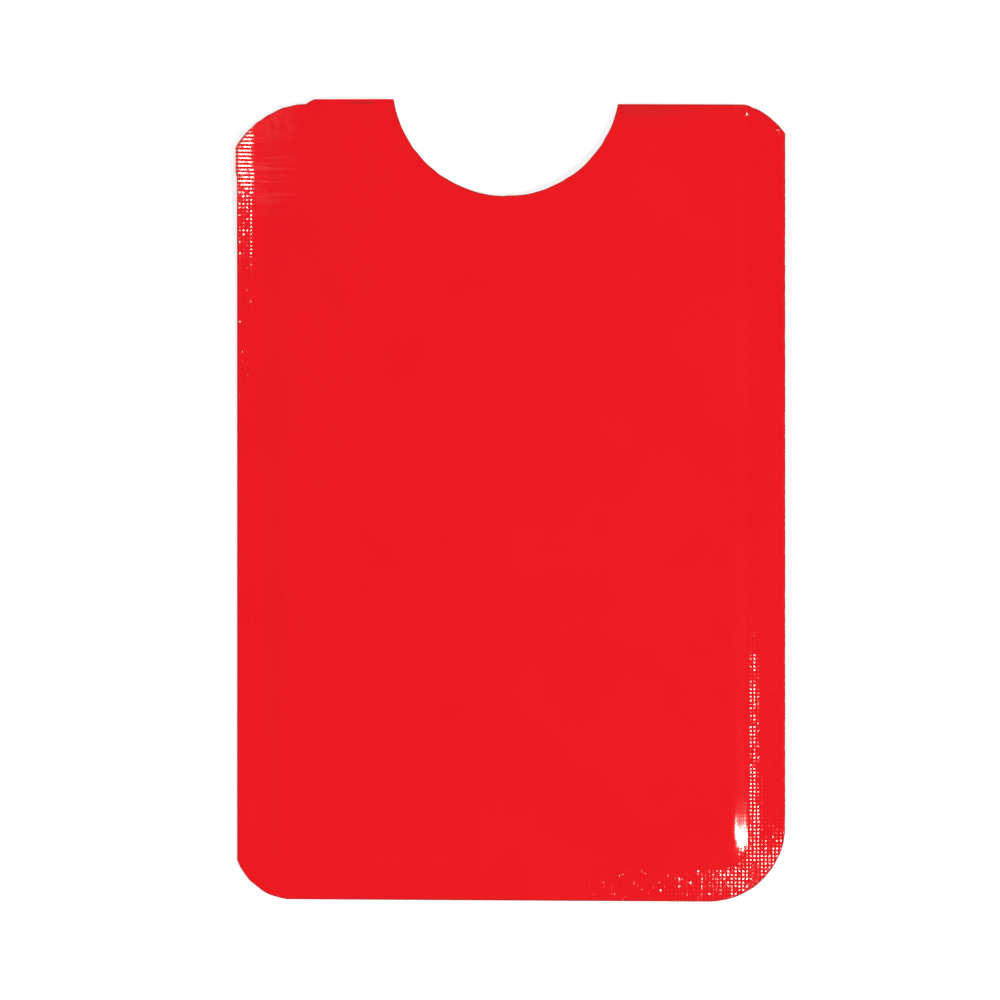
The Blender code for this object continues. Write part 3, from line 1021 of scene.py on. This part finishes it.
def build_seals(material):
    """Three flat beads between the liners, a little apart from each other at the pocket's corners."""
    over = back_at(SEAL_BEAD[1])
    under = back_at(SEAL_BEAD[0])
    side_rows = even_lines(POCKET_FLOOR + SEAL_GAP, MOUTH + LAYER_PAST, LONG_BEAD_STEP)
    floor_rows = even_lines(BOTTOM - LAYER_PAST, POCKET_FLOOR, FLOOR_STEP)
    left_columns = even_lines(LEFT + EDGE_INSET, POCKET_LEFT, BEAD_STEP)
    right_columns = even_lines(POCKET_RIGHT, RIGHT - EDGE_INSET, BEAD_STEP)
    floor_columns = even_lines(LEFT + 1.2 * MM, RIGHT - 3.0 * MM, LONG_BEAD_STEP)
    floor_columns = floor_columns[bottom_at(floor_columns) < POCKET_FLOOR - SEAL_GAP]
    beads = {
        "left_seal_bead": (left_columns, side_rows, "left_seal"),
        "right_seal_bead": (right_columns, side_rows, "right_seal"),
        "bottom_seal_bead": (floor_columns, floor_rows, "bottom_seal"),
    }
    for name, (columns, rows, node) in beads.items():
        piece = thin_sheet(name, columns, rows, rows, over, under, inset=EDGE_INSET)
        dress(piece, material, node)


def build_floor():
    """A wide pale floor, white to the camera and to reflections, which keeps the sleeve's shadow."""
    recipe = Recipe(bpy.data.materials.new("pale_floor"))
    rays = recipe.node("ShaderNodeLightPath").outputs
    seen = Wire(recipe, rays["Is Camera Ray"])
    seen = seen.math("MAXIMUM", Wire(recipe, rays["Is Glossy Ray"]))
    seen = seen.math("MAXIMUM", Wire(recipe, rays["Is Transmission Ray"]))
    recipe.set(Base_Color=recipe.mix(recipe.noise(30.0, 2.0), *FLOOR_GREYS), Roughness=0.9)
    recipe.set(Emission_Color=recipe.mix(seen, BLACK, FLOOR_GLOW), Emission_Strength=1.0)
    recipe.set(Specular_IOR_Level=0.0)
    mesh = bpy.data.meshes.new("floor")
    signs = [(-1, -1), (1, -1), (1, 1), (-1, 1)]
    corners = [(FLOOR_HALF * right, FLOOR_HALF * up, FLOOR_HEIGHT) for right, up in signs]
    mesh.from_pydata(corners, [], [(0, 1, 2, 3)])
    mesh.materials.append(recipe.owner)
    floor = bpy.data.objects.new("floor", mesh)
    bpy.context.scene.collection.objects.link(floor)


def aim(item, target):
    """Turns a lamp or camera so that it looks at the target, with its top towards +Y."""
    way = Vector(target) - item.location
    item.rotation_euler = way.to_track_quat("-Z", "Y").to_euler()


def lamp(name, zenith, azimuth, distance, side, radiance, colour):
    """A soft square lamp at an angle from straight overhead, aimed at the sleeve."""
    data = bpy.data.lights.new(name, "AREA")
    data.shape = "SQUARE"
    data.size = side
    data.energy = radiance * math.pi * side * side
    data.color = colour
    made = bpy.data.objects.new(name, data)
    tilt = math.radians(zenith)
    turn = math.radians(azimuth)
    flat = distance * math.sin(tilt)
    made.location = (flat * math.cos(turn), flat * math.sin(turn), distance * math.cos(tilt))
    aim(made, (0.0, 0.0, 0.0))
    bpy.context.scene.collection.objects.link(made)


def build_light():
    """One key softbox, three weaker ones, and pale walls round a dim overhead, white to the camera."""
    for name, values in SOFTBOXES.items():
        lamp(name, *values)
    sky = Recipe(bpy.data.worlds.new("studio"), "Background")
    way = sky.node("ShaderNodeTexCoord").outputs["Generated"]
    height = sky.value("ShaderNodeSeparateXYZ", None, {"Vector": way}, "Z")
    walls = sky.mix(height.between(0.0, 0.45), SKY_HORIZON, SKY_WALLS)
    dome = sky.mix(height.between(0.60, 0.95), walls, SKY_TOP)
    seen = sky.node("ShaderNodeLightPath").outputs["Is Camera Ray"]
    sky.set(Color=sky.mix(seen, dome, WHITE))
    bpy.context.scene.world = sky.owner


def build_camera():
    """Straight down at the sleeve, as the photograph has it."""
    data = bpy.data.cameras.new("camera")
    data.lens = LENS
    data.sensor_width = SENSOR
    data.clip_start = 0.01
    data.clip_end = 50.0
    camera = bpy.data.objects.new("camera", data)
    camera.location = (*CAMERA_PLACE, CAMERA_OVER + LENS / SENSOR * CAMERA_FRAME)
    bpy.context.scene.collection.objects.link(camera)
    bpy.context.scene.camera = camera


def main():
    """Builds the sleeve, then the stage."""
    bpy.context.scene.view_settings.view_transform = "Standard"
    front_film = red_film_material("front_red_film", 0.5)
    back_film = red_film_material("back_red_film", 0.8)
    build_front_film(front_film)
    build_layers(foil_material(), liner_material())
    build_back_film(back_film)
    build_seals(seal_material())
    build_floor()
    build_light()
    build_camera()


main()
